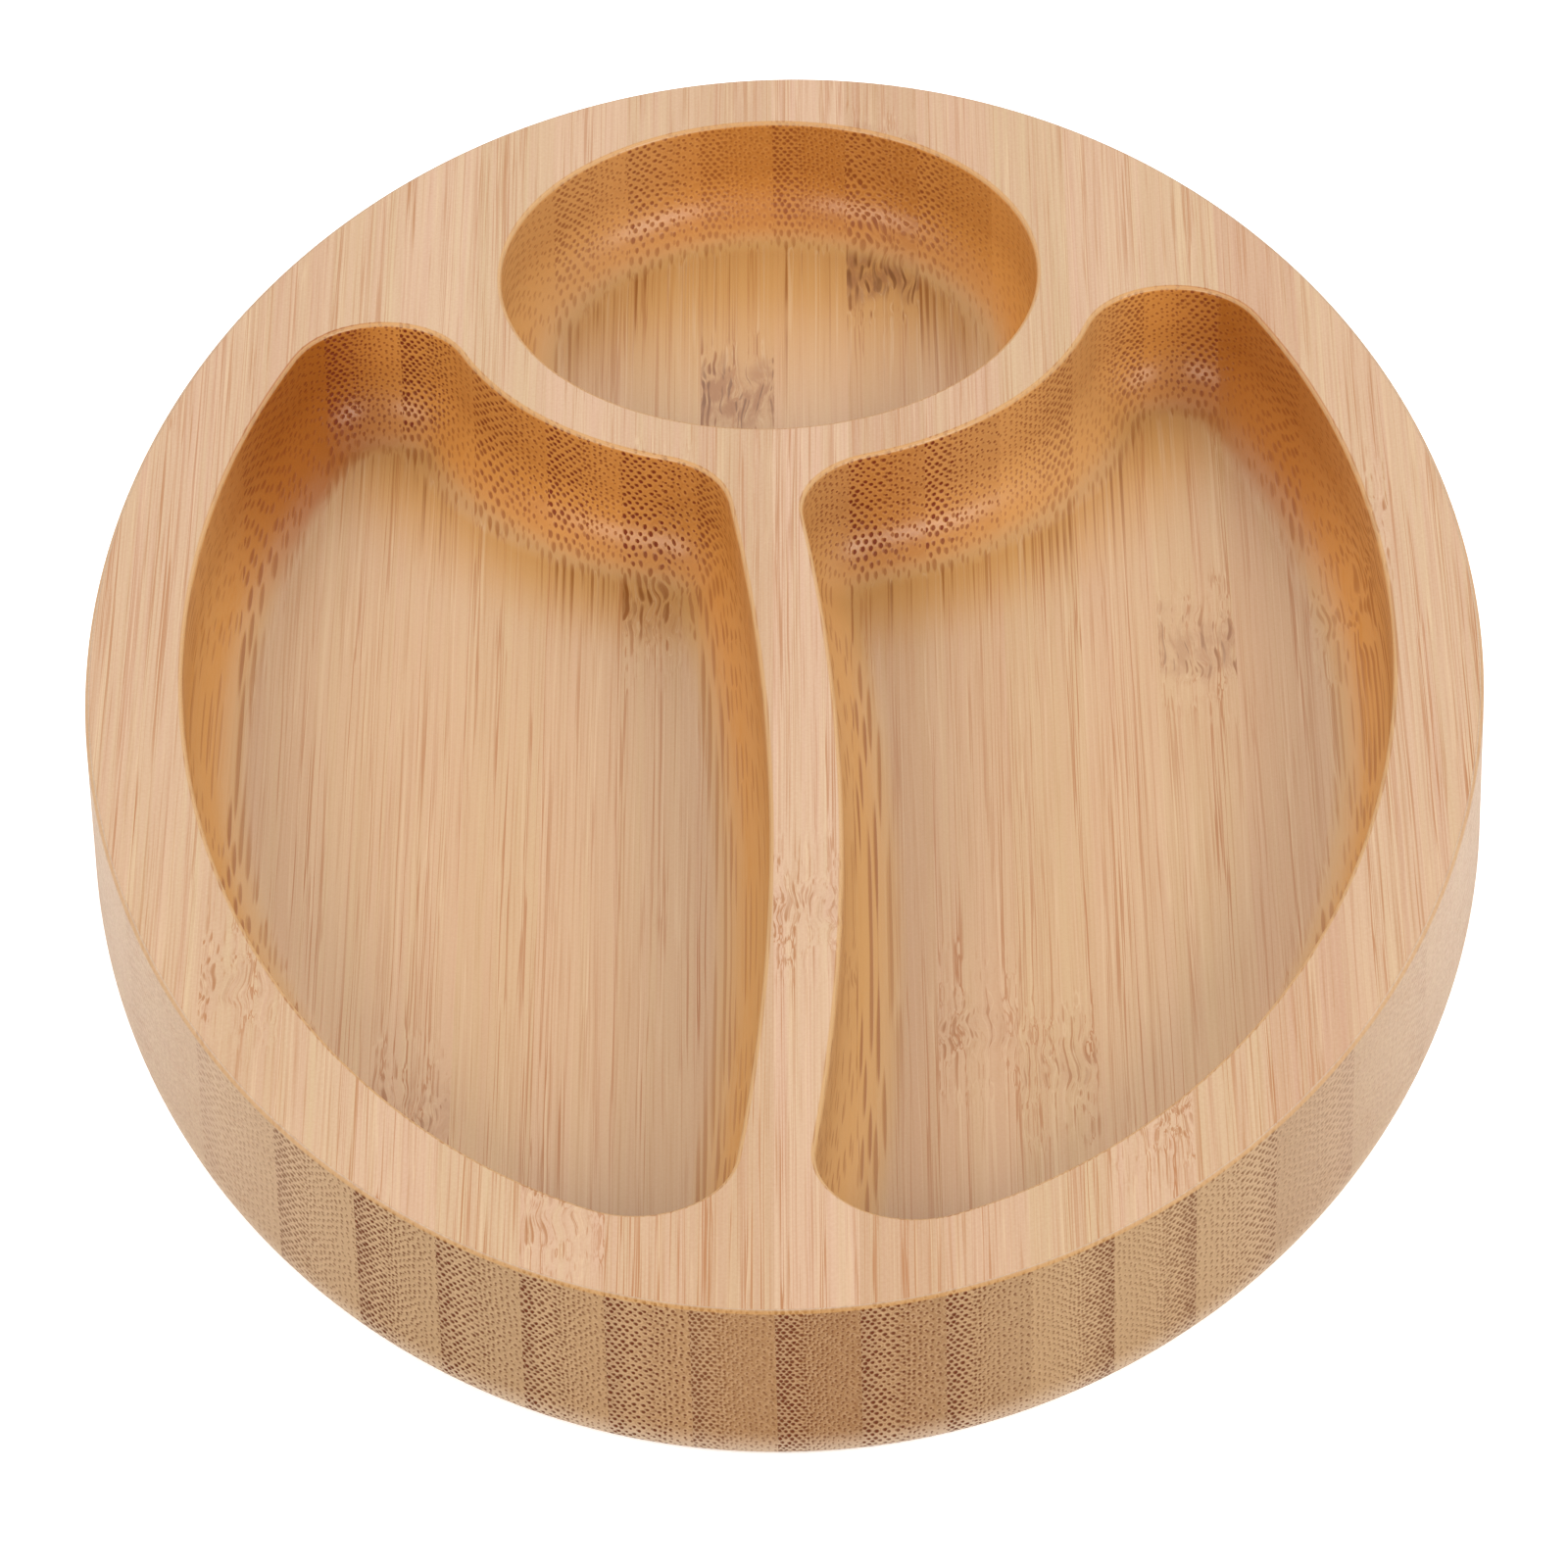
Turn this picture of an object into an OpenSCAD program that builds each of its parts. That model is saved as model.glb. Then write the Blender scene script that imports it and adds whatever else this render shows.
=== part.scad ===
// Oval divided plate, carved from a plank of upright bamboo strips glued side by side.
// The origin is the middle of the underside, +Z is up and +Y runs along the grain to the round bowl.

/* [Plate] */
// Width across the grain
plate_w = 150; // [130:1:190]
// Length along the grain
plate_l = 220; // [210:1:260]
// Thickness of the plank
plate_h = 20; // [18:0.5:30]
// Rounding of the lower edge, which leaves the flat foot inside it
foot_r = 3; // [1:0.25:5]
// Easing of the top edges, outside and round each pocket
ease_r = 0.6; // [0.2:0.1:1.2]

/* [Strips] */
// Width of plank lost to the saw, both sides together
trim_w = 1.6; // [0:0.1:4]
// Distance of the middle glue line from the middle of the plate
glue_x = -1.16; // [-3:0.02:3]

/* [Pockets] */
// Depth of all three pockets below the top
pocket_depth = 13.5; // [10:0.5:16]
// Fillet between the wall and the floor of each pocket
floor_r = 7; // [3:0.25:8]
// Radius of the side pockets' corners, left by the cutter
corner_r = 10; // [9:0.25:12]
// Rim between the plate's outer wall and the side pockets
rim_w = 10; // [7:0.25:14]
// How far the side pockets are laid out to the right of the plate's middle
layout_x = 0.4; // [-2:0.1:2]
// How far the side pockets are laid out towards the bowl
layout_y = 1.5; // [-2:0.1:4]

/* [Bowl] */
// Diameter of the round bowl
bowl_d = 60.8; // [50:0.2:66]
// Bowl centre across the grain
bowl_x = -1.5; // [-4:0.1:4]
// Rim between the plate's end and the bowl
bowl_rim_w = 9.6; // [7:0.1:14]
// Wall left between the bowl and the side pockets
web_w = 7.4; // [5:0.1:10]

/* [Divider] */
// Width of the curved bar between the side pockets
divider_w = 7.8; // [5:0.1:12]
// Radius of the bar's curve, along its middle
divider_r = 410; // [250:5:800]
// Place across the grain where the bar bulges furthest
divider_x = 2.3; // [-4:0.1:5]
// Place along the grain where the bar bulges furthest
divider_y = -34; // [-50:1:-10]

/* [Hidden] */
NODES = [
    "strip_01", "strip_02", "strip_03", "strip_04", "strip_05", "strip_06",
    "strip_07", "strip_08", "strip_09", "strip_10", "strip_11", "strip_12",
    "strip_13", "strip_14", "strip_15", "strip_16", "strip_17", "strip_18"
];

// Two tones of caramel bamboo, by turns, so that the glue lines can be told apart
BAMBOO_TONES = [[0.87, 0.69, 0.48], [0.82, 0.62, 0.40]];

// Steps along the outer oval, round a corner, along a long arc, up a fillet and over an eased edge
OVAL_STEPS = 80;
SIDE_STEPS = 24;
CORNER_STEPS = 8;
ARC_STEPS = 8;
FILLET_STEPS = 5;
EASE_STEPS = 2;
ROOT_STEPS = 40;

// How far a cut runs on past the face that it opens
overrun = 2;
// Most of a corner's radius that the floor's fillet can take up
corner_fillet_share = 0.9;

strip_count = len(NODES);
strip_w = (plate_w + trim_w) / strip_count;
floor_z = plate_h - pocket_depth;
bowl_r = bowl_d / 2;
fillet_r = min(floor_r, corner_fillet_share * corner_r, pocket_depth - ease_r);
bowl_centre = [bowl_x, plate_l / 2 - bowl_rim_w - bowl_r];
web_r = bowl_r + web_w;
layout = [layout_x, layout_y];
divider_centre = [divider_x - divider_r, divider_y];

function direction(angle) = [cos(angle), sin(angle)];
function angle_of(v) = atan2(v.y, v.x);
function angle_after(angle, start) = angle < start ? angle_after(angle + 360, start) : angle;

// Angle between low and high where f changes sign, by halving
function root(f, low, high, steps = ROOT_STEPS) =
    let (middle = (low + high) / 2)
    steps == 0 ? middle :
    f(low) * f(middle) <= 0 ? root(f, low, middle, steps - 1) : root(f, middle, high, steps - 1);

// Outward normal of the plate's oval, and the point that lies inset inside the oval there
function oval_normal(t) =
    let (n = [cos(t) / plate_w, sin(t) / plate_l])
    n / norm(n);
function oval_point(t, inset) =
    [plate_w / 2 * cos(t), plate_l / 2 * sin(t)] - inset * oval_normal(t);

// An outline is a closed anticlockwise list of [point, outward normal]
function oval_run(from, to, inset, shift, steps) =
    [for (i = [0 : steps - 1])
        let (t = from + (to - from) * i / steps)
        [oval_point(t, inset) + shift, oval_normal(t)]];
function arc_run(centre, radius, from, to, outward, steps) =
    [for (i = [0 : steps - 1])
        let (d = direction(from + (to - from) * i / steps))
        [centre + radius * d, outward * d]];
function corner_run(centre, from, to) =
    let (start = angle_of(from))
    arc_run(centre, corner_r, start, angle_after(angle_of(to), start), 1, CORNER_STEPS);

plate_outline = oval_run(0, 360, 0, [0, 0], OVAL_STEPS);

// Corner circles of a side pocket: each touches two of the rim, the web and the divider.
// Angle t along the oval gives the two on the rim, and an angle about the bowl gives the third.
function rim_corner(t) = oval_point(t, rim_w + corner_r) + layout;
function web_corner(angle) = bowl_centre + (web_r + corner_r) * direction(angle);
function past_web(t) = norm(rim_corner(t) - bowl_centre) - (web_r + corner_r);
function past_divider(point, reach) = norm(point - divider_centre) - reach;

// Left pocket, inside the divider's curve: rim, foot corner, divider, middle corner, web, lobe
left_edge_r = divider_r - divider_w / 2;
left_reach = left_edge_r - corner_r;
left_lobe_t = root(function (t) past_web(t), 90, 180);
left_foot_t = root(function (t) past_divider(rim_corner(t), left_reach), 180, 270);
left_web_angle = root(function (a) past_divider(web_corner(a), left_reach), 180, 270);
left_lobe = rim_corner(left_lobe_t);
left_foot = rim_corner(left_foot_t);
left_middle = web_corner(left_web_angle);
left_outline = concat(
    oval_run(left_lobe_t, left_foot_t, rim_w, layout, SIDE_STEPS),
    corner_run(left_foot, oval_normal(left_foot_t), left_foot - divider_centre),
    arc_run(divider_centre, left_edge_r, angle_of(left_foot - divider_centre),
        angle_of(left_middle - divider_centre), 1, ARC_STEPS),
    corner_run(left_middle, left_middle - divider_centre, bowl_centre - left_middle),
    arc_run(bowl_centre, web_r, left_web_angle,
        angle_after(angle_of(left_lobe - bowl_centre), 0), -1, ARC_STEPS),
    corner_run(left_lobe, bowl_centre - left_lobe, oval_normal(left_lobe_t))
);

// Right pocket, outside the divider's curve: rim, lobe, web, middle corner, divider, foot corner
right_edge_r = divider_r + divider_w / 2;
right_reach = right_edge_r + corner_r;
right_lobe_t = root(function (t) past_web(t), 0, 90);
right_foot_t = root(function (t) past_divider(rim_corner(t), right_reach), -90, 0);
right_web_angle = root(function (a) past_divider(web_corner(a), right_reach), 270, 360);
right_lobe = rim_corner(right_lobe_t);
right_foot = rim_corner(right_foot_t);
right_middle = web_corner(right_web_angle);
right_outline = concat(
    oval_run(right_foot_t, right_lobe_t, rim_w, layout, SIDE_STEPS),
    corner_run(right_lobe, oval_normal(right_lobe_t), bowl_centre - right_lobe),
    arc_run(bowl_centre, web_r, angle_after(angle_of(right_lobe - bowl_centre), 180),
        right_web_angle, -1, ARC_STEPS),
    corner_run(right_middle, bowl_centre - right_middle, divider_centre - right_middle),
    arc_run(divider_centre, right_edge_r, angle_of(right_middle - divider_centre),
        angle_of(right_foot - divider_centre), -1, ARC_STEPS),
    corner_run(right_foot, divider_centre - right_foot, oval_normal(right_foot_t))
);

// A profile is a list of [inset from the outline, height], from the bottom up
plate_profile = concat(
    [for (i = [0 : FILLET_STEPS])
        let (a = 90 * i / FILLET_STEPS)
        [foot_r * (1 - sin(a)), foot_r * (1 - cos(a))]],
    [for (i = [0 : EASE_STEPS])
        let (a = 90 * i / EASE_STEPS)
        [ease_r * (1 - cos(a)), plate_h - ease_r * (1 - sin(a))]]
);
pocket_profile = concat(
    [for (i = [0 : FILLET_STEPS])
        let (a = 90 * i / FILLET_STEPS)
        [fillet_r * (1 - sin(a)), floor_z + fillet_r * (1 - cos(a))]],
    [for (i = [0 : EASE_STEPS])
        let (a = 90 * i / EASE_STEPS)
        [ease_r * (cos(a) - 1), plate_h - ease_r * (1 - sin(a))]],
    [[-ease_r, plate_h + overrun]]
);

// Solid with one ring of points for each step of the profile, closed at both ends by triangles
// that meet in a hub in the middle of the outline
module lofted(outline, profile) {
    n = len(outline);
    top = (len(profile) - 1) * n;
    hub = [for (o = outline) 1 / n] * [for (o = outline) o[0]];
    low_hub = top + n;
    top_hub = low_hub + 1;
    polyhedron(
        points = concat(
            [for (step = profile, o = outline)
                let (p = o[0] - step[0] * o[1])
                [p.x, p.y, step[1]]],
            [for (step = [profile[0], profile[len(profile) - 1]]) [hub.x, hub.y, step[1]]]
        ),
        faces = concat(
            [for (i = [0 : n - 1]) [low_hub, i, (i + 1) % n]],
            [for (k = [0 : len(profile) - 2], i = [0 : n - 1], upper = [0, 1])
                let (a = k * n + i, b = k * n + (i + 1) % n)
                upper == 0 ? [a, a + n, b] : [b, a + n, b + n]],
            [for (i = [0 : n - 1]) [top_hub, top + (i + 1) % n, top + i]]
        )
    );
}

// The bowl is turned from half its section: a floor and a wall, less the fillet and the eased lip
module bowl_cut() {
    translate(bowl_centre)
        rotate_extrude($fn = OVAL_STEPS)
            difference() {
                translate([0, floor_z]) square([bowl_r + ease_r, pocket_depth + overrun]);
                bowl_fillet();
                bowl_lip();
            }
}

module bowl_fillet() {
    difference() {
        translate([bowl_r - fillet_r, floor_z - overrun]) square([fillet_r + overrun, fillet_r + overrun]);
        translate([bowl_r - fillet_r, floor_z + fillet_r]) circle(fillet_r, $fn = OVAL_STEPS);
    }
}

module bowl_lip() {
    translate([bowl_r, floor_z]) square([ease_r + overrun, pocket_depth - ease_r]);
    translate([bowl_r + ease_r, plate_h - ease_r]) circle(ease_r, $fn = OVAL_STEPS);
}

module carved_plate() {
    difference() {
        lofted(plate_outline, plate_profile);
        lofted(left_outline, pocket_profile);
        lofted(right_outline, pocket_profile);
        bowl_cut();
    }
}

// Glue line after strip i, with the plate's own sides at both ends
function glue_line(i) =
    i == 0 ? -plate_w / 2 - overrun :
    i == strip_count ? plate_w / 2 + overrun : glue_x + (i - strip_count / 2) * strip_w;

module strip(i) {
    color(BAMBOO_TONES[i % 2])
        intersection() {
            translate([glue_line(i), -plate_l, -overrun])
                cube([glue_line(i + 1) - glue_line(i), 2 * plate_l, plate_h + 2 * overrun]);
            carved_plate();
        }
}

for (i = [0 : strip_count - 1])
    strip(i);
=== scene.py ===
import math

import bpy
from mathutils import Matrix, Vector


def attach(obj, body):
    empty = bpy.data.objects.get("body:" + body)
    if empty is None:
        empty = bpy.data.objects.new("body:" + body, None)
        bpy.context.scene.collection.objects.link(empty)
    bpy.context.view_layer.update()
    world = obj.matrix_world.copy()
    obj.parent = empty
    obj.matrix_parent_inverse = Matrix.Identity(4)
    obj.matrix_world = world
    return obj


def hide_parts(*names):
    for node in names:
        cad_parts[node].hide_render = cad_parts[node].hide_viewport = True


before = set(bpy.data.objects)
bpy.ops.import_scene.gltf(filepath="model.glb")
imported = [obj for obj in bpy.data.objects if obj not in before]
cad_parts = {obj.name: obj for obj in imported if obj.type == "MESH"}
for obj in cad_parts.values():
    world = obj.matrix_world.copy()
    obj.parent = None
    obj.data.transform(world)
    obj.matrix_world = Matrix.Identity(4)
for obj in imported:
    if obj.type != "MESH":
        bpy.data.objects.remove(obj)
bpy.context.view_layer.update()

# The blank. Strips of caramel bamboo are glued face to face into a plank, and the plate's oval is sawn
# from it, with a rounded lower edge that leaves a flat foot and a top edge that is only eased by sanding.
# Sizes are the CAD's own, in metres: X runs across the strips, Y along the grain and Z up.
plate_width = 0.150
plate_length = 0.220
plate_height = 0.020
foot_radius = 0.003
eased_radius = 0.0006
outline_step = 0.0011
foot_steps = 10
eased_steps = 8
quarter_turn = math.pi / 2
full_turn = 2 * math.pi


def oval_normal(t):
    return Vector((math.cos(t) / plate_width, math.sin(t) / plate_length)).normalized()


def oval_point(t, inset):
    on_oval = Vector((plate_width * math.cos(t), plate_length * math.sin(t))) / 2
    return on_oval - inset * oval_normal(t)


def oval_run(start, end, inset, shift):
    """Points along the oval, inset from it, each with its outward normal."""
    mean_radius = (plate_width + plate_length) / 4
    steps = math.ceil((end - start) * mean_radius / outline_step)
    turns = [start + (end - start) * i / steps for i in range(steps)]
    return [(oval_point(t, inset) + shift, oval_normal(t)) for t in turns]


def quarter_round(steps, curve):
    """One (inset, height) for each step of a quarter turn."""
    return [curve(quarter_turn * i / steps) for i in range(steps + 1)]


def lofted(outline, profile, points, faces):
    """Adds a closed solid: a ring of points for each step of the profile, and a fan at each end."""
    first, count = len(points), len(outline)
    top = first + (len(profile) - 1) * count
    for inset, height in profile:
        points += [(*(p - inset * n), height) for p, n in outline]
    for lower in range(first, top, count):
        for i in range(count):
            j = (i + 1) % count
            faces.append((lower + i, lower + j, lower + count + j, lower + count + i))
    hub = sum((p for p, _ in outline), Vector((0, 0))) / count
    low_hub = len(points)
    top_hub = low_hub + 1
    points += [(*hub, profile[0][1]), (*hub, profile[-1][1])]
    for i in range(count):
        j = (i + 1) % count
        faces.append((low_hub, first + j, first + i))
        faces.append((top_hub, top + i, top + j))


blank_points, blank_faces = [], []
blank_profile = (
    quarter_round(
        foot_steps,
        lambda a: (foot_radius * (1 - math.sin(a)), foot_radius * (1 - math.cos(a))),
    )
    + quarter_round(
        eased_steps,
        lambda a: (eased_radius * (1 - math.cos(a)), plate_height - eased_radius * (1 - math.sin(a))),
    )
)
lofted(oval_run(0, full_turn, 0, Vector((0, 0))), blank_profile, blank_points, blank_faces)
blank_mesh = bpy.data.meshes.new("sawn_blank")
blank_mesh.from_pydata(blank_points, [], blank_faces)

# The round bowl and the two side pockets. A cutter with a rounded end carves all three to one depth, so
# each has upright walls, a generous fillet round a flat floor, and corners as round as the cutter.
# The side pockets follow the rim, the web that is left round the bowl and the curved divider.
pocket_depth = 0.0135
floor_height = plate_height - pocket_depth
fillet_radius = 0.007
fillet_steps = 16
overrun = 0.002
corner_radius = 0.010
rim_width = 0.010
layout = Vector((0.0004, 0.0015))
bowl_radius = 0.0304
bowl_rim_width = 0.0096
bowl_offset = -0.0015
bowl_centre = Vector((bowl_offset, plate_length / 2 - bowl_rim_width - bowl_radius))
web_width = 0.0074
web_radius = bowl_radius + web_width
divider_width = 0.0078
divider_radius = 0.410
bulge_x = 0.0023
bulge_y = -0.034
divider_centre = Vector((bulge_x - divider_radius, bulge_y))
halvings = 50


def root(f, low, high):
    """The place between low and high where f changes sign, by halving."""
    for _ in range(halvings):
        middle = (low + high) / 2
        low, high = (low, middle) if f(low) * f(middle) <= 0 else (middle, high)
    return (low + high) / 2


def direction(angle):
    return Vector((math.cos(angle), math.sin(angle)))


def angle_of(v):
    return math.atan2(v.y, v.x)


def arc_run(centre, radius, start, end, outward):
    """Points along an arc, each with the normal that leads out of the pocket."""
    steps = max(2, math.ceil(abs(end - start) * radius / outline_step))
    turns = [direction(start + (end - start) * i / steps) for i in range(steps)]
    return [(centre + radius * d, outward * d) for d in turns]


def corner_run(centre, start, end):
    turn = (angle_of(end) - angle_of(start)) % full_turn
    return arc_run(centre, corner_radius, angle_of(start), angle_of(start) + turn, 1)


def rim_corner(t):
    """Centre of a corner that touches the rim at t."""
    return oval_point(t, rim_width + corner_radius) + layout


def web_corner(angle):
    """Centre of a corner that touches the web at that angle round the bowl."""
    return bowl_centre + (web_radius + corner_radius) * direction(angle)


def past_web(t):
    return (rim_corner(t) - bowl_centre).length - web_radius - corner_radius


def past_divider(place, reach):
    return (place - divider_centre).length - reach


def round_bowl(place):
    """Direction from the bowl's centre, counted from 0 to a full turn."""
    return angle_of(place - bowl_centre) % full_turn


left_edge = divider_radius - divider_width / 2
left_reach = left_edge - corner_radius
left_lobe_t = root(past_web, quarter_turn, 2 * quarter_turn)
left_foot_t = root(
    lambda t: past_divider(rim_corner(t), left_reach), 2 * quarter_turn, 3 * quarter_turn
)
left_web_angle = root(
    lambda a: past_divider(web_corner(a), left_reach), 2 * quarter_turn, 3 * quarter_turn
)
left_lobe, left_foot = rim_corner(left_lobe_t), rim_corner(left_foot_t)
left_middle = web_corner(left_web_angle)
left_outline = (
    oval_run(left_lobe_t, left_foot_t, rim_width, layout)
    + corner_run(left_foot, oval_normal(left_foot_t), left_foot - divider_centre)
    + arc_run(
        divider_centre,
        left_edge,
        angle_of(left_foot - divider_centre),
        angle_of(left_middle - divider_centre),
        1,
    )
    + corner_run(left_middle, left_middle - divider_centre, bowl_centre - left_middle)
    + arc_run(bowl_centre, web_radius, left_web_angle, round_bowl(left_lobe), -1)
    + corner_run(left_lobe, bowl_centre - left_lobe, oval_normal(left_lobe_t))
)

right_edge = divider_radius + divider_width / 2
right_reach = right_edge + corner_radius
right_lobe_t = root(past_web, 0, quarter_turn)
right_foot_t = root(lambda t: past_divider(rim_corner(t), right_reach), -quarter_turn, 0)
right_web_angle = root(
    lambda a: past_divider(web_corner(a), right_reach), 3 * quarter_turn, 4 * quarter_turn
)
right_lobe, right_foot = rim_corner(right_lobe_t), rim_corner(right_foot_t)
right_middle = web_corner(right_web_angle)
right_outline = (
    oval_run(right_foot_t, right_lobe_t, rim_width, layout)
    + corner_run(right_lobe, oval_normal(right_lobe_t), bowl_centre - right_lobe)
    + arc_run(bowl_centre, web_radius, round_bowl(right_lobe), right_web_angle, -1)
    + corner_run(right_middle, bowl_centre - right_middle, divider_centre - right_middle)
    + arc_run(
        divider_centre,
        right_edge,
        angle_of(right_middle - divider_centre),
        angle_of(right_foot - divider_centre),
        -1,
    )
    + corner_run(right_foot, divider_centre - right_foot, oval_normal(right_foot_t))
)

pocket_profile = (
    quarter_round(
        fillet_steps,
        lambda a: (fillet_radius * (1 - math.sin(a)), floor_height + fillet_radius * (1 - math.cos(a))),
    )
    + quarter_round(
        eased_steps,
        lambda a: (eased_radius * (math.cos(a) - 1), plate_height - eased_radius * (1 - math.sin(a))),
    )
    + [(-eased_radius, plate_height + overrun)]
)
cut_points, cut_faces = [], []
bowl_outline = arc_run(bowl_centre, bowl_radius, 0, full_turn, 1)
for pocket_outline in (left_outline, right_outline, bowl_outline):
    lofted(pocket_outline, pocket_profile, cut_points, cut_faces)
cut_mesh = bpy.data.meshes.new("pocket_cuts")
cut_mesh.from_pydata(cut_points, [], cut_faces)
pocket_cuts = bpy.data.objects.new("pocket_cuts", cut_mesh)
bpy.context.scene.collection.objects.link(pocket_cuts)

# Oiled bamboo. Fibre bundles run along each strip, small and close together on the side that was the
# outside of the culm: they show as dots where a wall cuts across them and as streaks along the grain.
# The oil soaks deep into cut ends, so the pocket walls are amber and the flat faces stay pale.
strip_count = 18
trim_width = 0.0016
strip_width = (plate_width + trim_width) / strip_count

bamboo = bpy.data.materials.new("oiled_bamboo")
bamboo.use_nodes = True
wood = bamboo.node_tree
wood.nodes.clear()


def wired(tree, kind, inputs=None, **settings):
    """Adds a node with its settings. An input is a plain value, or another node's output."""
    node = tree.nodes.new(kind)
    for name, value in settings.items():
        setattr(node, name, value)
    for key, value in (inputs or {}).items():
        if isinstance(value, bpy.types.NodeSocket):
            tree.links.new(value, node.inputs[key])
        else:
            node.inputs[key].default_value = value
    return node


def maths(operation, *values, clamp=False):
    inputs = dict(enumerate(values))
    return wired(wood, "ShaderNodeMath", inputs, operation=operation, use_clamp=clamp).outputs[0]


def times(*values):
    """All the values multiplied."""
    product = values[0]
    for value in values[1:]:
        product = maths("MULTIPLY", product, value)
    return product


def hypotenuse(a, b):
    return maths("SQRT", maths("ADD", maths("POWER", a, 2.0), maths("POWER", b, 2.0)))


def ramp(value, low, high, to_low=0.0, to_high=1.0):
    """Eases from to_low to to_high as the value goes from low to high."""
    inputs = {0: value, 1: low, 2: high, 3: to_low, 4: to_high}
    node = wired(wood, "ShaderNodeMapRange", inputs, interpolation_type="SMOOTHSTEP")
    return node.outputs[0]


def tinted(share, a, b):
    """Colour b laid over colour a by that share."""
    inputs = {0: share, 6: a, 7: b}
    return wired(wood, "ShaderNodeMix", inputs, data_type="RGBA").outputs[2]


def point(x, y, z):
    return wired(wood, "ShaderNodeCombineXYZ", {0: x, 1: y, 2: z}).outputs[0]


def apart(vector):
    return wired(wood, "ShaderNodeSeparateXYZ", {0: vector}).outputs[:3]


def per_strip(name):
    return wired(wood, "ShaderNodeAttribute", attribute_name=name).outputs["Fac"]


def noise(place, detail=2.0, rough=0.5):
    inputs = {"Vector": place, "Scale": 1.0, "Detail": detail, "Roughness": rough}
    return wired(wood, "ShaderNodeTexNoise", inputs, noise_dimensions="3D")


def varied(base, by_noise, amount, clamp=False):
    """The base raised and lowered by a noise, whose middle is a half."""
    return maths("MULTIPLY_ADD", maths("SUBTRACT", by_noise, 0.5), amount, base, clamp=clamp)


# Places are in millimetres here, so that the sizes of the grain read plainly
mm = 1000.0
top_z = mm * plate_height
floor_z = mm * floor_height
on_object = wired(wood, "ShaderNodeTexCoord").outputs["Object"]
in_mm = wired(wood, "ShaderNodeVectorMath", {0: on_object, "Scale": mm}, operation="SCALE")
x, y, z = apart(in_mm.outputs[0])
facing_x, facing_y, facing_z = apart(wired(wood, "ShaderNodeNewGeometry").outputs["Normal"])
seed = per_strip("seed")

# Where the surface is: across or along the grain, in a pocket or outside, and on an eased edge
in_oval = hypotenuse(
    maths("DIVIDE", x, mm * plate_width / 2), maths("DIVIDE", y, mm * plate_length / 2)
)
steepness = maths("SQRT", maths("SUBTRACT", 1.0, maths("POWER", facing_z, 2.0), clamp=True))
outside = times(ramp(in_oval, 0.955, 0.975), ramp(steepness, 0.05, 0.30))
upright = ramp(steepness, 0.03, 0.34)
sectioned = ramp(steepness, 0.03, 0.20)
cut_across = ramp(maths("ABSOLUTE", facing_y), 0.15, 0.80)
eased = times(ramp(z, top_z - 0.4, top_z - 0.3), ramp(steepness, 0.30, 0.55))
inside = times(maths("SUBTRACT", 1.0, outside), ramp(z, floor_z - 3.0, floor_z - 1.5))
in_pocket = times(inside, ramp(z, top_z - 3.0, top_z - 0.2, 1.0, 0.0))

# Painted light and shade: gold on the floors at the bowl's back and behind the web for bounce light, and
# dark lobes beside the bowl for shade
bowl_x, bowl_y = mm * bowl_centre
off_bowl = hypotenuse(maths("SUBTRACT", x, bowl_x), maths("SUBTRACT", y, bowl_y))
off_web = maths("ABSOLUTE", maths("SUBTRACT", off_bowl, mm * (bowl_radius + web_radius) / 2))
beyond_web = ramp(off_bowl, mm * bowl_radius, mm * web_radius)
behind_web = times(beyond_web, ramp(off_web, 10.0, 24.0, 1.0, 0.0))
bowl_back = times(maths("SUBTRACT", 1.0, beyond_web), ramp(y, 56.0, 88.0))
painted_bounce_zone = times(in_pocket, maths("ADD", behind_web, bowl_back))
shaded_lobe = times(inside, ramp(y, 18.0, 48.0), ramp(off_web, 6.0, 18.0), beyond_web)

# The bundles wander a little along the grain, and waver where the culm had a node
wander = noise(point(maths("MULTIPLY_ADD", x, 0.10, seed), times(y, 0.014), times(z, 0.10)))
waver = noise(point(maths("MULTIPLY_ADD", x, 0.30, seed), times(y, 0.13), times(z, 0.30)), detail=1.0)
wander_x, _, wander_z = apart(wander.outputs["Color"])
waver_x, waver_y, waver_z = apart(waver.outputs["Color"])
off_node = maths("ABSOLUTE", maths("SUBTRACT", y, per_strip("node_y")))
stained = per_strip("stain")
node_size = maths("MULTIPLY_ADD", stained, 0.65, 0.45)
ragged_off_node = maths("MULTIPLY_ADD", waver_y, 10.0, maths("DIVIDE", off_node, node_size))
at_node = ramp(ragged_off_node, 7.0, 14.0, 1.0, 0.0)
flecked = ramp(off_node, 4.0, 16.0, 1.0, 0.0)


def strayed(place, wandering, reach, wavering, near_node, node_reach):
    """The place shifted by the wander, and by the waver near a node."""
    moved = varied(place, wandering, reach)
    return maths("MULTIPLY_ADD", times(maths("SUBTRACT", wavering, 0.5), near_node), node_reach, moved)


grain_x = strayed(x, wander_x, 0.8, waver_x, at_node, 3.0)
grain_z = strayed(z, wander_z, 1.1, waver_z, flecked, 2.6)

# How far a place is from the strip's dense side, in millimetres, and how dense the bundles are there
skin_x = maths("MULTIPLY_ADD", per_strip("dense_right"), mm * strip_width, per_strip("glue_x"))
from_skin = maths("ABSOLUTE", maths("SUBTRACT", grain_x, skin_x))
dense = ramp(from_skin, 0.0, times(per_strip("dense_share"), mm * strip_width), 1.0, 0.0)

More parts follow.
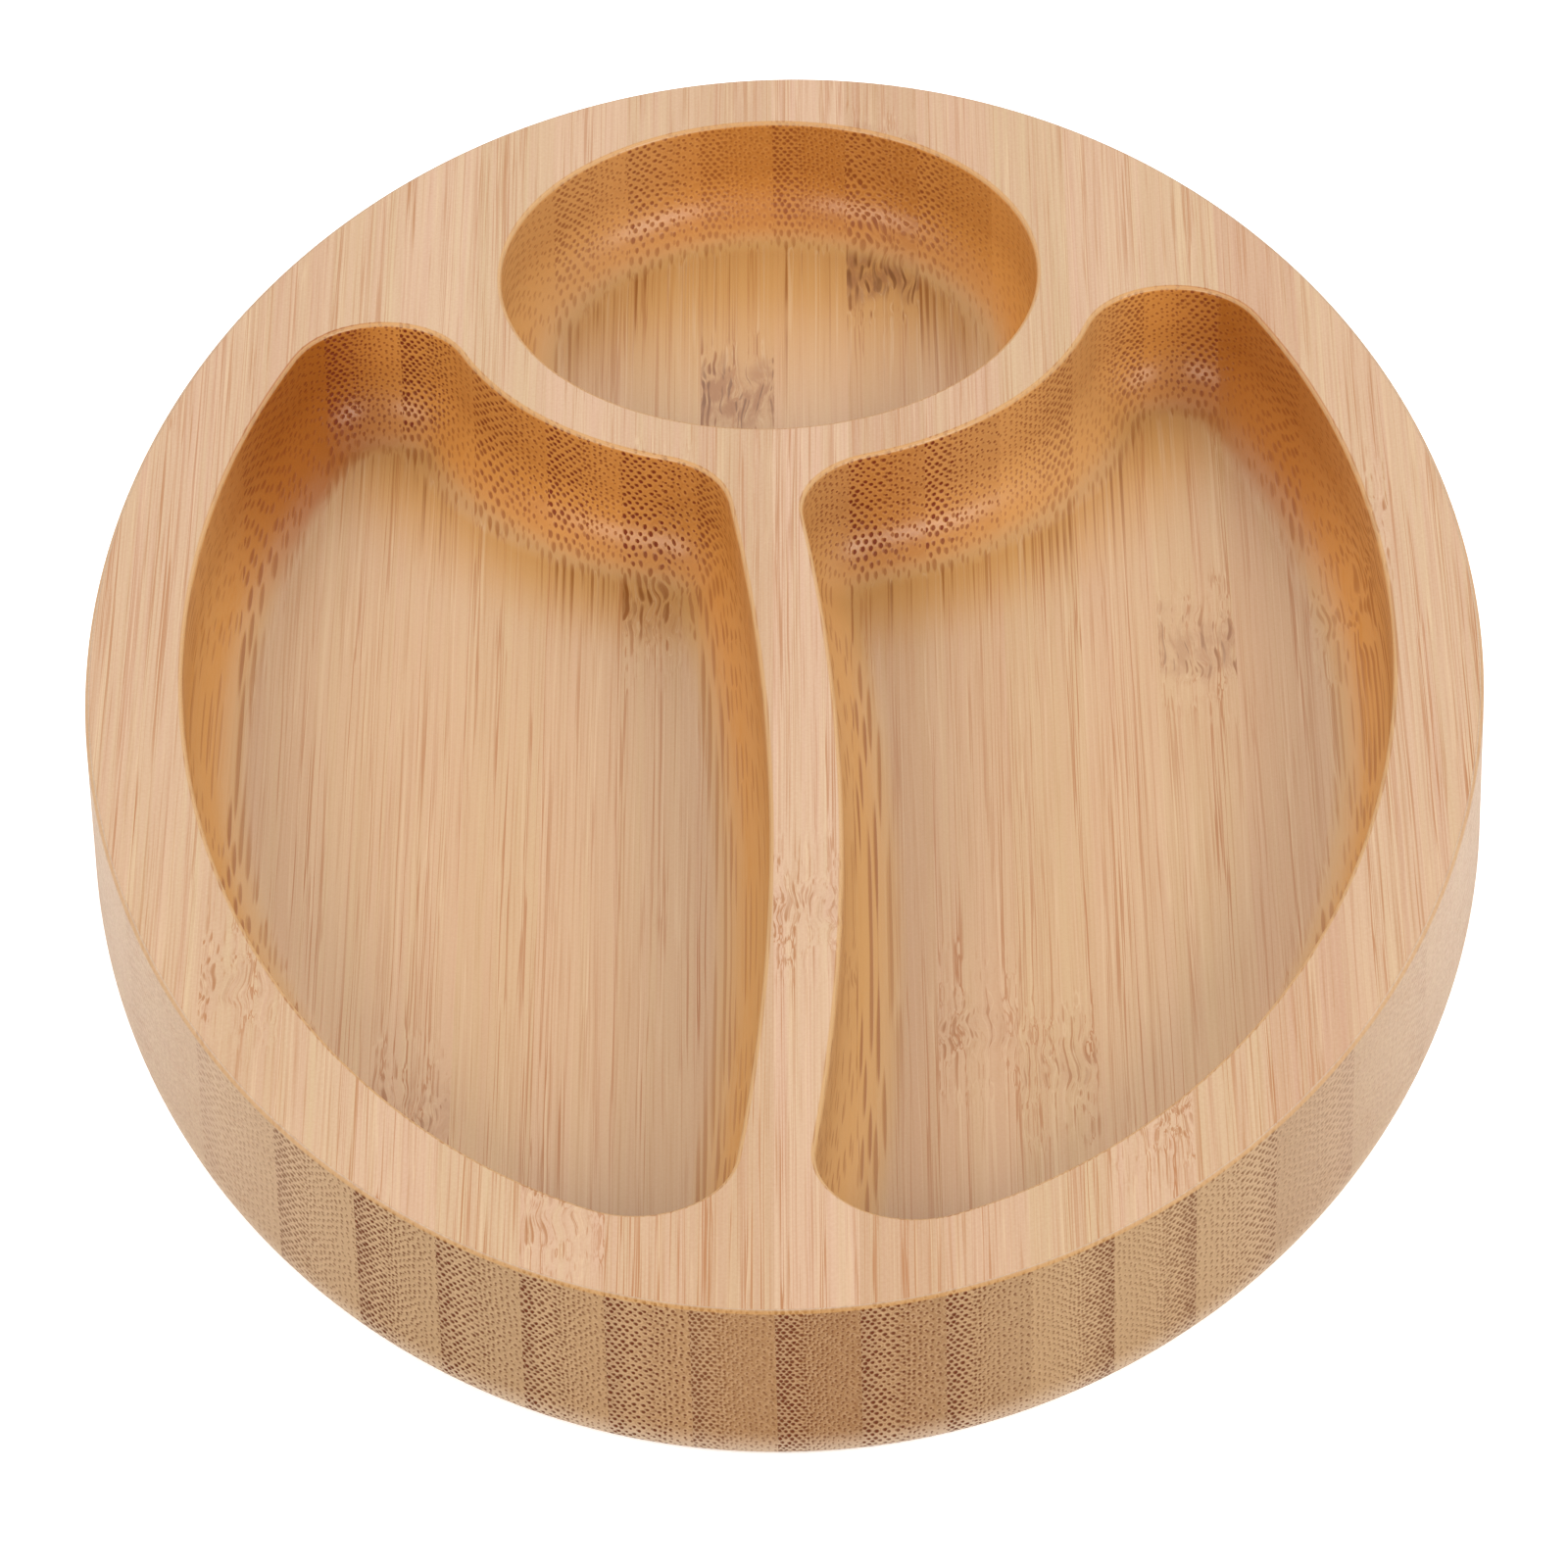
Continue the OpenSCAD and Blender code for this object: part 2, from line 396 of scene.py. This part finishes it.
# Bundles in staggered rows that thin out inwards. Near the skin a bundle is one dark dot, and further in
# it parts into a pair, a dark sheath on the inner side and a lighter one on the outer
bundle_across = 1.25
bundle_up = 1.15
part_tilt = 0.3
spread = times(from_skin, maths("MULTIPLY_ADD", from_skin, -0.05, 1.55))
spread_rate = maths("MULTIPLY_ADD", from_skin, -0.10, 1.55)
coarse = times(per_strip("coarse"), maths("MULTIPLY_ADD", outside, -0.16, 1.0))
row_x = maths("DIVIDE", spread, times(coarse, bundle_across))
row_z = maths("DIVIDE", grain_z, times(coarse, bundle_up))
lattice = point(
    maths("ADD", maths("ADD", row_x, row_z), times(seed, 3.1)), maths("SUBTRACT", row_x, row_z), 0.0
)
bundle = wired(
    wood,
    "ShaderNodeTexVoronoi",
    {"Vector": lattice, "Scale": 1.0, "Randomness": 0.35},
    voronoi_dimensions="2D",
)
lot_a, lot_b, lot_c = apart(bundle.outputs["Color"])
off_middle = wired(
    wood, "ShaderNodeVectorMath", {0: lattice, 1: bundle.outputs["Position"]}, operation="SUBTRACT"
)
off_p, off_q, _ = apart(off_middle.outputs[0])
off_x = maths("DIVIDE", times(maths("ADD", off_p, off_q), coarse, bundle_across / 2), spread_rate)
off_z = times(maths("SUBTRACT", off_p, off_q), coarse, bundle_up / 2)
grown = times(maths("MULTIPLY_ADD", lot_c, 0.4, 0.8), maths("MULTIPLY_ADD", at_node, 0.35, 1.0))
grown = times(grown, maths("MULTIPLY_ADD", dense, 0.25, 0.72), maths("MULTIPLY_ADD", outside, -0.12, 1.0))
parted = ramp(dense, 0.35, 0.85, 0.29, 0.07)


def beside(inner):
    """Distance from a bundle's inner part (1), or from its outer part (-1), which sits a little higher."""
    part_x = maths("MULTIPLY_ADD", parted, -inner, off_x)
    part_z = maths("MULTIPLY_ADD", parted, part_tilt * inner, off_z)
    return hypotenuse(part_x, part_z)


sheath_off = maths("DIVIDE", beside(1), grown)
partner_off = maths("DIVIDE", beside(-1), grown)
sheath = ramp(sheath_off, 0.15, 0.26, 1.0, 0.0)
partner = times(ramp(partner_off, 0.12, 0.23, 1.0, 0.0), ramp(dense, 0.3, 0.9, 0.80, 0.5))
halo = times(ramp(sheath_off, 0.24, 0.34), ramp(sheath_off, 0.36, 0.60, 1.0, 0.0))
strength = times(per_strip("dot_strength"), maths("MULTIPLY_ADD", dense, 0.35, 0.65))
dot = times(maths("MAXIMUM", sheath, partner), strength, maths("MULTIPLY_ADD", lot_b, 0.3, 0.85))
along = noise(point(times(lot_a, 60.0), times(y, 0.035), times(lot_b, 60.0))).outputs["Fac"]
by_fillet = maths("MULTIPLY_ADD", painted_bounce_zone, 0.5, 1.0)
sheath_line = ramp(maths("DIVIDE", sheath_off, by_fillet), 0.07, 0.16, 1.0, 0.0)
partner_line = ramp(maths("DIVIDE", partner_off, by_fillet), 0.05, 0.13, 0.7, 0.0)
line = maths("MAXIMUM", sheath_line, partner_line)
streak = times(line, maths("MULTIPLY_ADD", dense, 0.40, 0.60), ramp(along, 0.34, 0.50, 0.15, 1.0))


def drawn_out(across, along, detail=2.0, rough=0.5):
    """Noise with so many grains to a millimetre across the strip and along it, another for each strip."""
    place = point(
        maths("MULTIPLY_ADD", grain_x, across, seed), times(y, along), times(grain_z, across)
    )
    return noise(place, detail, rough).outputs["Fac"]


# Fine fibres between the bundles, drawn out along the grain, in broader bands, and long reddish lines
fibre = drawn_out(across=4.0, along=0.03, rough=0.6)
band = drawn_out(across=0.9, along=0.010)
mottle = drawn_out(across=0.8, along=0.22, detail=3.0, rough=0.6)
clustered = ramp(drawn_out(across=0.45, along=0.006), 0.42, 0.56, 0.15, 1.0)
patchy = ramp(drawn_out(across=0.8, along=0.02), 0.36, 0.56, 0.30, 1.0)
line_noise = drawn_out(across=1.5, along=0.007, detail=3.0, rough=0.55)
cream_noise = drawn_out(across=1.3, along=0.008, detail=1.0)
off_line = maths("ABSOLUTE", maths("SUBTRACT", line_noise, 0.5))
off_cream = maths("ABSOLUTE", maths("SUBTRACT", cream_noise, 0.44))
thin_line = ramp(off_line, 0.008, 0.040, 1.0, 0.0)
# Fewer lines towards the back: painted light, which lightens the back rim
lines = times(thin_line, clustered, patchy, ramp(y, -40.0, 80.0, 1.0, 0.65))
cream = times(ramp(off_cream, 0.005, 0.035, 1.0, 0.0), patchy)
askew_x = maths("MULTIPLY_ADD", y, 1.6, times(x, 2.1))
askew_y = maths("MULTIPLY_ADD", x, -1.6, times(maths("ADD", y, z), 2.1))
speck = noise(point(askew_x, askew_y, times(z, 2.6)), rough=0.6).outputs["Fac"]

# Long grain: pale peach, pinker and yellower by bands, with reddish streaks and a brown stain at a node
pale_yellow = (0.415, 0.283, 0.156, 1)
pale_pink = (0.444, 0.278, 0.180, 1)
deep_yellow = (0.337, 0.200, 0.093, 1)
deep_pink = (0.356, 0.195, 0.110, 1)
oiled_and_bounce_tan = (0.395, 0.228, 0.098, 1)
painted_bounce_gold = (0.395, 0.198, 0.055, 1)
hairline_brown = (0.290, 0.125, 0.036, 1)
cream_white = (0.500, 0.350, 0.205, 1)
line_red = (0.285, 0.112, 0.030, 1)
streak_brown = (0.270, 0.106, 0.026, 1)
streak_by_fillet = (0.190, 0.058, 0.006, 1)
knot_brown = (0.250, 0.110, 0.042, 1)
knot_dark = (0.120, 0.044, 0.014, 1)
warmth = varied(maths("MULTIPLY_ADD", per_strip("warmth"), 0.35, 0.5), band, 1.6, clamp=True)
pale = tinted(warmth, pale_yellow, pale_pink)
deep = tinted(warmth, deep_yellow, deep_pink)
shade = maths("MULTIPLY_ADD", per_strip("tone"), -0.34, 0.38)
shade = varied(shade, band, 0.6)
shade = varied(shade, fibre, 0.8)
shade = varied(shade, speck, 0.8, clamp=True)
long_grain = tinted(shade, pale, deep)
# Partly painted shade and warm bounce light in the pockets' hollow, partly deeper oil: the pocket floors
# tinted tan
long_grain = tinted(times(in_pocket, 0.42), long_grain, oiled_and_bounce_tan)
# Painted bounce light and shade: gold laid on the floors near the back walls
long_grain = tinted(times(painted_bounce_zone, 0.82), long_grain, painted_bounce_gold)
on_top = ramp(z, top_z - 0.8, top_z - 0.1, 1.0, 1.9)
hairline = times(ramp(fibre, 0.56, 0.74), maths("MULTIPLY_ADD", dense, 0.25, 0.20), on_top)
long_grain = tinted(hairline, long_grain, hairline_brown)
long_grain = tinted(times(cream, 0.30), long_grain, cream_white)
line_share = maths("MULTIPLY_ADD", painted_bounce_zone, 0.30, maths("MULTIPLY_ADD", dense, 0.20, 0.80), clamp=True)
long_grain = tinted(times(lines, line_share), long_grain, line_red)
streak_share = maths("MULTIPLY_ADD", painted_bounce_zone, 0.5, maths("MULTIPLY_ADD", flecked, 0.62, 0.32), clamp=True)
streak_colour = tinted(painted_bounce_zone, streak_brown, streak_by_fillet)
long_grain = tinted(times(streak, streak_share), long_grain, streak_colour)
knot = times(at_node, stained, stained)
long_grain = tinted(times(knot, ramp(mottle, 0.36, 0.62, 0.15, 0.90)), long_grain, knot_brown)
long_grain = tinted(times(knot, line, 0.65), long_grain, knot_dark)

# Cut ends in the pockets, soaked amber. Painted light pales the divider's right side and the other walls
# near the middle that face the right softbox, and painted shade darkens the fillets at the floors and the
# lobes
amber_light = (0.490, 0.206, 0.044, 1)
amber_deep = (0.325, 0.111, 0.016, 1)
amber_ring = (0.560, 0.265, 0.072, 1)
left_facing_amber = (0.470, 0.186, 0.035, 1)
right_facing_amber = (0.440, 0.190, 0.042, 1)
front_amber = (0.425, 0.218, 0.066, 1)
fillet_amber = (0.372, 0.200, 0.064, 1)
painted_right_light_tan = (0.500, 0.300, 0.130, 1)
painted_crease_shade = (0.270, 0.105, 0.026, 1)
painted_lobe_shade = (0.250, 0.064, 0.003, 1)
end_shade = maths("MULTIPLY_ADD", per_strip("end_tone"), -0.60, 0.50)
end_shade = varied(end_shade, band, 0.5)
end_shade = varied(end_shade, speck, 0.5, clamp=True)
amber = tinted(end_shade, amber_light, amber_deep)
amber = tinted(times(halo, 0.25), amber, amber_ring)
soaked = tinted(ramp(facing_x, -0.6, 0.6), left_facing_amber, right_facing_amber)
soaked = tinted(ramp(y, -50.0, 35.0, 0.80, 0.0), soaked, front_amber)
soaked = tinted(ramp(steepness, 0.15, 0.75), fillet_amber, soaked)
amber_side = tinted(0.80, long_grain, soaked)
pocket_wall = tinted(cut_across, amber_side, amber)
# Painted light: walls near the middle that face the right softbox made paler
lit_from_right = times(ramp(facing_x, 0.15, 0.75), ramp(maths("ABSOLUTE", x), 32.0, 48.0, 1.0, 0.0))
pocket_wall = tinted(times(lit_from_right, 0.34), pocket_wall, painted_right_light_tan)
# Painted shade: the fillets where the walls meet the floors darkened brown
floor_crease = times(ramp(steepness, 0.10, 0.35), ramp(steepness, 0.65, 0.95, 1.0, 0.0), cut_across)
pocket_wall = tinted(times(floor_crease, 0.20), pocket_wall, painted_crease_shade)
# Painted shade: the lobes beside the bowl darkened, more on the left
pocket_wall = tinted(times(shaded_lobe, ramp(x, -30.0, 30.0, 0.80, 0.60)), pocket_wall, painted_lobe_shade)

# The outer wall, drier: brown cut ends in front and behind with sanding marks; a painted sheen greys the
# flanks and pales the ends where they turn aside, and a painted pale band of bounce light runs along the
# foot
dry_light = (0.285, 0.156, 0.064, 1)
dry_deep = (0.176, 0.077, 0.024, 1)
painted_grazing_sheen = (0.275, 0.195, 0.108, 1)
skin_brown = (0.140, 0.062, 0.024, 1)
dry_ring = (0.420, 0.275, 0.150, 1)
sanded_tan = (0.350, 0.220, 0.115, 1)
painted_flank_sheen = (0.412, 0.345, 0.288, 1)
flank_speck = (0.300, 0.218, 0.152, 1)
painted_foot_bounce = (0.440, 0.330, 0.230, 1)
dry = tinted(varied(end_shade, speck, 0.9, clamp=True), dry_light, dry_deep)
# Painted sheen: the cut ends paled and greyed as they turn aside towards the flanks
dry = tinted(ramp(maths("ABSOLUTE", facing_x), 0.10, 0.60, 0.0, 0.38), dry, painted_grazing_sheen)
dry = tinted(times(ramp(from_skin, 0.2, 2.4, 1.0, 0.0), 0.40), dry, skin_brown)
dry = tinted(times(halo, maths("MULTIPLY_ADD", dense, 0.20, 0.20)), dry, dry_ring)
across_marks = times(maths("ADD", x, z), 5.0)
along_marks = times(maths("SUBTRACT", x, z), 0.35)
sanding = noise(point(across_marks, along_marks, y), detail=1.0).outputs["Fac"]
dry = tinted(ramp(sanding, 0.50, 0.75, 0.0, 0.25), dry, sanded_tan)
# Painted sheen: the flanks greyed, for the reflection of the white room at grazing angles
flank = tinted(0.42, long_grain, painted_flank_sheen)
flank = tinted(ramp(speck, 0.42, 0.62, 0.0, 0.40), flank, flank_speck)
outer_wall = tinted(cut_across, flank, dry)
# Painted light: a pale band along the rounded foot, for light bounced up from the white table
outer_wall = tinted(ramp(z, 0.6, 4.5, 0.85, 0.0), outer_wall, painted_foot_bounce)

# Dots on the walls and fillets, a golden line along the eased edges, and a satin of oil that the dots lack
fillet_dot = (0.230, 0.068, 0.005, 1)
wall_dot = (0.145, 0.019, 0.000, 1)
outer_dot = (0.078, 0.013, 0.000, 1)
inner_edge_gold = (0.455, 0.280, 0.130, 1)
outer_edge_gold = (0.400, 0.205, 0.062, 1)
pit_depth = 0.00012
surface = tinted(upright, long_grain, tinted(outside, pocket_wall, outer_wall))
along_wall = ramp(outside, 0.0, 1.0, 0.50, 0.12)
facing_end = ramp(maths("ABSOLUTE", facing_y), ramp(outside, 0.0, 1.0, 0.15, 0.34), 0.85)
on_end = ramp(facing_end, 0.0, 1.0, along_wall, 1.0)
dotted = times(dot, sectioned, maths("MULTIPLY_ADD", beyond_web, 0.35, 0.65), on_end)
inner_dot = tinted(ramp(steepness, 0.10, 0.55), fillet_dot, wall_dot)
surface = tinted(dotted, surface, tinted(outside, inner_dot, outer_dot))
edge = tinted(outside, inner_edge_gold, outer_edge_gold)
surface = tinted(times(eased, ramp(outside, 0.0, 1.0, 0.60, 0.50)), surface, edge)
gloss = maths("MULTIPLY_ADD", dotted, 0.40, ramp(outside, 0.0, 1.0, 0.32, 0.75), clamp=True)
relief = maths("MULTIPLY_ADD", dotted, -1.0, times(fibre, 0.15))
pits = wired(wood, "ShaderNodeBump", {"Strength": 0.5, "Distance": pit_depth, "Height": relief})
finish = wired(wood, "ShaderNodeBsdfPrincipled", {
    "Base Color": surface,
    "Roughness": gloss,
    "Normal": pits.outputs[0],
    "Specular IOR Level": 0.28,
})
wired(wood, "ShaderNodeOutputMaterial", {"Surface": finish.outputs[0]})

# The strips. Each is an upright slat the full length of the plate, its outer-culm side to the left or the
# right as it came to the glue press. Glue holds it to its neighbours, face to face, and each is its own
# piece of the carved plate, from glue line to glue line.
middle_glue_x = -0.00116
crease = math.radians(12)
first_seed = 1.7
seed_step = 7.3

# Tone of the long grain and of the cut ends, warmth (pink over yellow), which side is dense and for what
# share of the width, how dark the dots are, the node's place in millimetres, its stain, the bundles' size.
# A strip that shows no node has its node far off the plate
marks = (
    "tone", "end_tone", "warmth", "dense_right", "dense_share", "dot_strength", "node_y", "stain", "coarse"
)
left, right, no_node = 0, 1, -500
strips = [
    (0.0, 0.2, 0.0, left, 1.0, 0.8, no_node, 0.0, 1.0),
    (0.0, 0.2, 0.0, left, 1.0, 0.8, no_node, 0.0, 1.0),
    (-0.5, 0.5, 0.0, left, 1.0, 1.0, -57, 0.3, 1.0),
    (0.2, 0.9, -0.3, left, 0.9, 1.0, no_node, 0.0, 0.9),
    (0.4, 0.6, 0.3, left, 1.0, 1.0, -63, 0.6, 0.9),
    (0.1, 0.3, -0.6, left, 1.2, 0.95, no_node, 0.0, 1.0),
    (0.3, 0.4, 0.4, left, 1.1, 0.95, -93, 0.3, 0.95),
    (-0.2, 0.1, -0.2, left, 1.4, 1.1, 24, 0.45, 1.05),
    (-0.8, -0.2, -0.2, left, 0.8, 0.8, 64, 1.0, 0.95),
    (0.4, -0.5, 0.6, left, 0.8, 1.0, -46, 0.3, 0.9),
    (-1.2, -0.4, 0.0, left, 1.2, 1.0, 90, 1.0, 1.05),
    (-0.3, 0.0, 0.4, left, 0.8, 1.0, -50, 0.4, 1.0),
    (-0.2, 0.8, -0.8, right, 0.9, 0.8, -57, 0.4, 0.85),
    (0.1, 0.9, 0.3, right, 0.9, 0.7, -79, 0.3, 0.85),
    (-0.1, 1.0, -0.6, right, 1.1, 0.8, 16, 0.75, 1.0),
    (-1.1, -0.2, 0.5, right, 0.9, 0.8, no_node, 0.0, 1.0),
    (0.0, 0.1, 0.0, right, 1.0, 0.8, 20, 0.3, 1.0),
    (0.0, 0.2, 0.0, right, 1.0, 0.8, no_node, 0.0, 1.0),
]

# The tree carves the pockets from the blank, keeps what lies between two glue lines, creases its sharp
# edges and writes the strip's own marks on it for the bamboo to read
carving = bpy.data.node_groups.new("carved_strip", "GeometryNodeTree")
attributes = ("glue_x", "seed") + marks
kinds = {"Blank": "Geometry", "Pockets": "Object", "Low": "Float", "High": "Float", "Finish": "Material"}
kinds |= {name: "Float" for name in attributes}
sockets = {}
for name, kind in kinds.items():
    sockets[name] = carving.interface.new_socket(name, in_out="INPUT", socket_type="NodeSocket" + kind)
carving.interface.new_socket("Strip", in_out="OUTPUT", socket_type="NodeSocketGeometry")
given = carving.nodes.new("NodeGroupInput").outputs


def step(kind, inputs=None, **settings):
    return wired(carving, kind, inputs, **settings)


pockets = step("GeometryNodeObjectInfo", {"Object": given["Pockets"]})
carved = step(
    "GeometryNodeMeshBoolean",
    {"Mesh 1": given["Blank"], "Mesh 2": pockets.outputs["Geometry"]},
    operation="DIFFERENCE",
    solver="MANIFOLD",
)
slat_width = step("ShaderNodeMath", {0: given["High"], 1: given["Low"]}, operation="SUBTRACT")
slat_sum = step("ShaderNodeMath", {0: given["High"], 1: given["Low"]}, operation="ADD")
slat_middle = step("ShaderNodeMath", {0: slat_sum.outputs[0], 1: 0.5}, operation="MULTIPLY")
slat_size = step(
    "ShaderNodeCombineXYZ", {0: slat_width.outputs[0], 1: 2 * plate_length, 2: 4 * plate_height}
)
slat_place = step("ShaderNodeCombineXYZ", {0: slat_middle.outputs[0]})
slat = step("GeometryNodeMeshCube", {"Size": slat_size.outputs[0]})
slat = step(
    "GeometryNodeTransform",
    {"Geometry": slat.outputs["Mesh"], "Translation": slat_place.outputs[0]},
)
strip = step("GeometryNodeMeshBoolean", operation="INTERSECT", solver="MANIFOLD")
carving.links.new(carved.outputs["Mesh"], strip.inputs[1])
carving.links.new(slat.outputs["Geometry"], strip.inputs[1])
smooth = step(
    "GeometryNodeSetShadeSmooth",
    {"Geometry": strip.outputs["Mesh"], "Shade Smooth": True},
    domain="FACE",
)
bend = step("GeometryNodeInputMeshEdgeAngle")
sharp = step("FunctionNodeCompare", {0: bend.outputs[0], 1: crease}, operation="GREATER_THAN")
made = step(
    "GeometryNodeSetShadeSmooth",
    {"Geometry": smooth.outputs[0], "Selection": sharp.outputs[0], "Shade Smooth": False},
    domain="EDGE",
)
for name in attributes:
    made = step(
        "GeometryNodeStoreNamedAttribute",
        {"Geometry": made.outputs[0], "Name": name, "Value": given[name]},
        domain="POINT",
    )
whole = step("GeometryNodeRealizeInstances", {"Geometry": made.outputs[0]})
dressed = step("GeometryNodeSetMaterial", {"Geometry": whole.outputs[0], "Material": given["Finish"]})
step("NodeGroupOutput", {0: dressed.outputs[0]})


def glue_line(i):
    """Where the glue line to the left of strip i stands. Beyond the outermost strips there is none."""
    return middle_glue_x + (i - strip_count / 2) * strip_width


for i, own_marks in enumerate(strips):
    name = f"strip_{i + 1:02d}"
    blank = bpy.data.objects.new("blank", blank_mesh)
    bpy.context.scene.collection.objects.link(blank)
    cut = blank.modifiers.new("carve", "NODES")
    cut.node_group = carving
    given_values = {
        "Pockets": pocket_cuts,
        "Low": glue_line(i) if i > 0 else -plate_width,
        "High": glue_line(i + 1) if i + 1 < strip_count else plate_width,
        "Finish": bamboo,
        "glue_x": mm * glue_line(i),
        "seed": seed_step * i + first_seed,
    }
    given_values |= {mark: float(value) for mark, value in zip(marks, own_marks)}
    for socket, value in given_values.items():
        cut[sockets[socket].identifier] = value
    even = blank.modifiers.new("even", "WEIGHTED_NORMAL")
    even.weight = 100
    even.keep_sharp = True
    evaluated = blank.evaluated_get(bpy.context.evaluated_depsgraph_get())
    piece = bpy.data.objects.new("bamboo_" + name, bpy.data.meshes.new_from_object(evaluated))
    piece.data.name = "bamboo_" + name
    bpy.data.objects.remove(blank)
    bpy.context.scene.collection.objects.link(piece)
    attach(piece, "root")
    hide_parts(name)
bpy.data.objects.remove(pocket_cuts)

# The table. A plain white sheet, wide enough to fill the picture, that the plate's foot rests on. It lies
# a hair below the foot, so that the two faces don't show through each other.
table_size = 6.0
below_foot = 0.00005
half = table_size / 2
corners = [(-half, -half), (half, -half), (half, half), (-half, half)]
table_mesh = bpy.data.meshes.new("white_table")
table_mesh.from_pydata([(*c, -below_foot) for c in corners], [], [(0, 1, 2, 3)])
table = bpy.data.objects.new("white_table", table_mesh)
bpy.context.scene.collection.objects.link(table)
table_finish = bpy.data.materials.new("white_sheet")
table_finish.use_nodes = True
sheet = table_finish.node_tree.nodes["Principled BSDF"].inputs
sheet["Base Color"].default_value = (0.95, 0.95, 0.95, 1)
sheet["Roughness"].default_value = 0.8
sheet["Emission Color"].default_value = (1, 1, 1, 1)
sheet["Emission Strength"].default_value = 0.3
table_mesh.materials.append(table_finish)

# The light. A white room all round, a broad panel above and behind, and softboxes in front to the left and
# right, whose reflections lie on the fillets at the backs of the pockets.
room = bpy.data.worlds.new("white_room")
room.use_nodes = True
walls = room.node_tree.nodes["Background"].inputs
walls["Color"].default_value = (1, 1, 1, 1)
walls["Strength"].default_value = 0.78
bpy.context.scene.world = room

# Degrees to the right of the front and upwards, then distance, width and height in metres, and watts
lamps = (
    ("left_softbox", -46, 32, 1.3, 0.95, 0.50, 10.5),
    ("right_softbox", 54, 32, 1.3, 0.80, 0.45, 11),
    ("ceiling_panel", 180, 52, 0.9, 1.2, 1.2, 6),
)
aim = Vector((0, 0, plate_height))
for name, azimuth, elevation, distance, width, height, watts in lamps:
    box = bpy.data.lights.new(name, "AREA")
    box.shape = "RECTANGLE"
    box.size = width
    box.size_y = height
    box.energy = watts
    turned = math.radians(azimuth)
    raised = math.radians(elevation)
    level = math.cos(raised)
    away = Vector((math.sin(turned) * level, -math.cos(turned) * level, math.sin(raised)))
    lamp = bpy.data.objects.new(name, box)
    lamp.location = aim + distance * away
    lamp.rotation_euler = away.to_track_quat("Z", "Y").to_euler()
    bpy.context.scene.collection.objects.link(lamp)

# The camera, where the photograph was taken from: in front of the plate and well above it, with a long
# lens. Its place, in metres, and its turn, in degrees, come from the plate's rim and glue lines.
sensor_mm = 36
lens_mm = 209.907
view_limit = 20
camera_place = (0.00944, -0.78769, 0.60908)
camera_turn = (52.3023, 1.1027, -0.1406)
lens = bpy.data.cameras.new("camera")
lens.sensor_width = sensor_mm
lens.lens = lens_mm
lens.clip_end = view_limit
camera = bpy.data.objects.new("camera", lens)
camera.location = camera_place
camera.rotation_euler = [math.radians(a) for a in camera_turn]
bpy.context.scene.collection.objects.link(camera)
bpy.context.scene.camera = camera
bpy.context.scene.view_settings.view_transform = "Standard"
